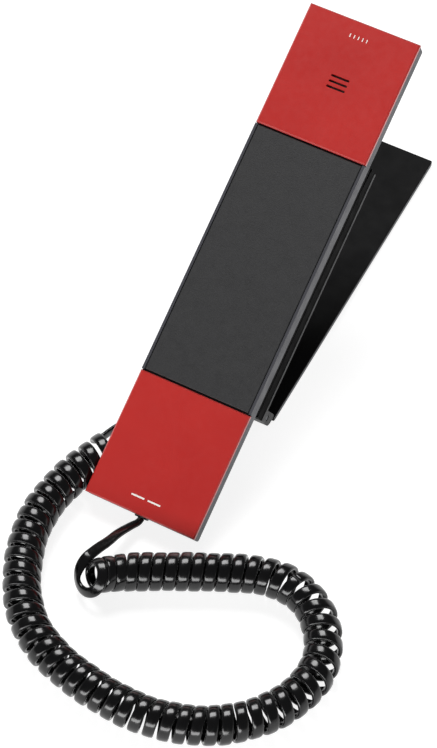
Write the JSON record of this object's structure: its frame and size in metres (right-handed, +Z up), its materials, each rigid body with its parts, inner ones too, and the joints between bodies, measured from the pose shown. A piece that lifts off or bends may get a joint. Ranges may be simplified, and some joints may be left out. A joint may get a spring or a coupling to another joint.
{
  "type": "corded telephone",
  "caption": "Slimline corded wall phone: slab handset with a keypad on its back, held by magnets on a rocking cradle, on a folding V-shaped wall stand, with a coiled handset cord.",
  "frame": {"origin": "on the desk, under the middle of the phone without its cord", "axes": "+Z up from the desk; +Y from the handset's lower end to the wall plate's far edge; +X across the handset"},
  "size_m": [0.1621, 0.3444, 0.1216],
  "materials": {
    "red_gloss": "glossy",
    "panel_grey": "fine texture",
    "frame_grey": "satin",
    "shell_black": "satin",
    "stand_grey": "satin",
    "key_black": "satin",
    "silicone_rubber": "matt",
    "circuit_board": "semi-gloss",
    "capsule_metal": "satin",
    "black_foam": "matt",
    "plated_steel": "zinc plated",
    "magnet_nickel": "nickel plated",
    "screw_steel": "zinc plated",
    "socket_black": "matt",
    "reed_glass": "clear",
    "ringer_black": "matt",
    "switch_white": "matt",
    "foot_rubber": "matt",
    "cord_black": "glossy vinyl",
    "plug_clear": "clear"
  },
  "bodies": {
    "base": {"stand_bracket": "stand_grey", "hinge_pin": "plated_steel", "cradle_housing": "shell_black", "cradle_screws": "screw_steel", "cord_jack": "socket_black", "line_jack": "socket_black", "cradle_board": "circuit_board", "reed_switch": "reed_glass", "ringer": "ringer_black", "switch_body": "socket_black", "rocker_pins": "plated_steel", "rocker_spring": "plated_steel", "cord_lead": "cord_black", "cord_coil": "cord_black", "cord_tail": "cord_black", "cord_plug": "plug_clear"},
    "leg": {"wall_plate": "shell_black", "rubber_feet": "foot_rubber"},
    "rocker": {"rocker_plate": "shell_black", "rocker_magnets": "magnet_nickel"},
    "handset": {"handset_frame": "frame_grey", "earpiece_cover": "red_gloss", "mouthpiece_cover": "red_gloss", "grip_panel": "panel_grey", "rear_cover": "frame_grey", "handset_screws": "screw_steel", "keypad_membrane": "silicone_rubber", "handset_board": "circuit_board", "earpiece_capsule": "capsule_metal", "earpiece_gasket": "black_foam", "microphone": "capsule_metal", "microphone_boot": "silicone_rubber", "keeper_plates": "plated_steel", "hook_magnet": "magnet_nickel", "cord_grommet": "cord_black"},
    "ringer_slider": {"ringer_switch": "switch_white"},
    "key_1": {"key_1": "key_black"},
    "key_2": {"key_2": "key_black"},
    "key_3": {"key_3": "key_black"},
    "key_4": {"key_4": "key_black"},
    "key_5": {"key_5": "key_black"},
    "key_6": {"key_6": "key_black"},
    "key_7": {"key_7": "key_black"},
    "key_8": {"key_8": "key_black"},
    "key_9": {"key_9": "key_black"},
    "key_star": {"key_star": "key_black"},
    "key_0": {"key_0": "key_black"},
    "key_hash": {"key_hash": "key_black"},
    "key_redial": {"key_redial": "key_black"},
    "key_mute": {"key_mute": "key_black"},
    "key_recall": {"key_recall": "key_black"}
  },
  "joints": [
    {"name": "stand_fold", "type": "hinge", "parent": "base", "child": "leg", "pos_m": [0, -0.05543, 0.01289], "axis": [1, 0, 0], "range_deg": [0, 27.5]},
    {"name": "rocker_tilt", "type": "hinge", "parent": "base", "child": "rocker", "pos_m": [0, 0.03231, 0.07434], "axis": [-1, 0, 0], "range_deg": [0, 7], "stiffness_Nm_per_rad": 0.1, "springref_deg": -11.46, "deforming": ["rocker_spring"]},
    {"name": "handset_lift", "type": "slide", "parent": "rocker", "child": "handset", "axis": [0, -0.4617, 0.887], "range_m": [0, 0.04]},
    {"name": "ringer_switch_slide", "type": "slide", "parent": "base", "child": "ringer_slider", "axis": [0, 0.887, 0.4617], "range_m": [0, 0.004]},
    {"name": "key_1_press", "type": "slide", "parent": "handset", "child": "key_1", "axis": [0, -0.4617, 0.887], "range_m": [0, 0.001], "stiffness_N_per_m": 800, "springref_m": -0.0005},
    {"name": "key_2_press", "type": "slide", "parent": "handset", "child": "key_2", "axis": [0, -0.4617, 0.887], "range_m": [0, 0.001], "stiffness_N_per_m": 800, "springref_m": -0.0005},
    {"name": "key_3_press", "type": "slide", "parent": "handset", "child": "key_3", "axis": [0, -0.4617, 0.887], "range_m": [0, 0.001], "stiffness_N_per_m": 800, "springref_m": -0.0005},
    {"name": "key_4_press", "type": "slide", "parent": "handset", "child": "key_4", "axis": [0, -0.4617, 0.887], "range_m": [0, 0.001], "stiffness_N_per_m": 800, "springref_m": -0.0005},
    {"name": "key_5_press", "type": "slide", "parent": "handset", "child": "key_5", "axis": [0, -0.4617, 0.887], "range_m": [0, 0.001], "stiffness_N_per_m": 800, "springref_m": -0.0005},
    {"name": "key_6_press", "type": "slide", "parent": "handset", "child": "key_6", "axis": [0, -0.4617, 0.887], "range_m": [0, 0.001], "stiffness_N_per_m": 800, "springref_m": -0.0005},
    {"name": "key_7_press", "type": "slide", "parent": "handset", "child": "key_7", "axis": [0, -0.4617, 0.887], "range_m": [0, 0.001], "stiffness_N_per_m": 800, "springref_m": -0.0005},
    {"name": "key_8_press", "type": "slide", "parent": "handset", "child": "key_8", "axis": [0, -0.4617, 0.887], "range_m": [0, 0.001], "stiffness_N_per_m": 800, "springref_m": -0.0005},
    {"name": "key_9_press", "type": "slide", "parent": "handset", "child": "key_9", "axis": [0, -0.4617, 0.887], "range_m": [0, 0.001], "stiffness_N_per_m": 800, "springref_m": -0.0005},
    {"name": "key_star_press", "type": "slide", "parent": "handset", "child": "key_star", "axis": [0, -0.4617, 0.887], "range_m": [0, 0.001], "stiffness_N_per_m": 800, "springref_m": -0.0005},
    {"name": "key_0_press", "type": "slide", "parent": "handset", "child": "key_0", "axis": [0, -0.4617, 0.887], "range_m": [0, 0.001], "stiffness_N_per_m": 800, "springref_m": -0.0005},
    {"name": "key_hash_press", "type": "slide", "parent": "handset", "child": "key_hash", "axis": [0, -0.4617, 0.887], "range_m": [0, 0.001], "stiffness_N_per_m": 800, "springref_m": -0.0005},
    {"name": "key_redial_press", "type": "slide", "parent": "handset", "child": "key_redial", "axis": [0, -0.4617, 0.887], "range_m": [0, 0.001], "stiffness_N_per_m": 800, "springref_m": -0.0005},
    {"name": "key_mute_press", "type": "slide", "parent": "handset", "child": "key_mute", "axis": [0, -0.4617, 0.887], "range_m": [0, 0.001], "stiffness_N_per_m": 800, "springref_m": -0.0005},
    {"name": "key_recall_press", "type": "slide", "parent": "handset", "child": "key_recall", "axis": [0, -0.4617, 0.887], "range_m": [0, 0.001], "stiffness_N_per_m": 800, "springref_m": -0.0005}
  ]
}
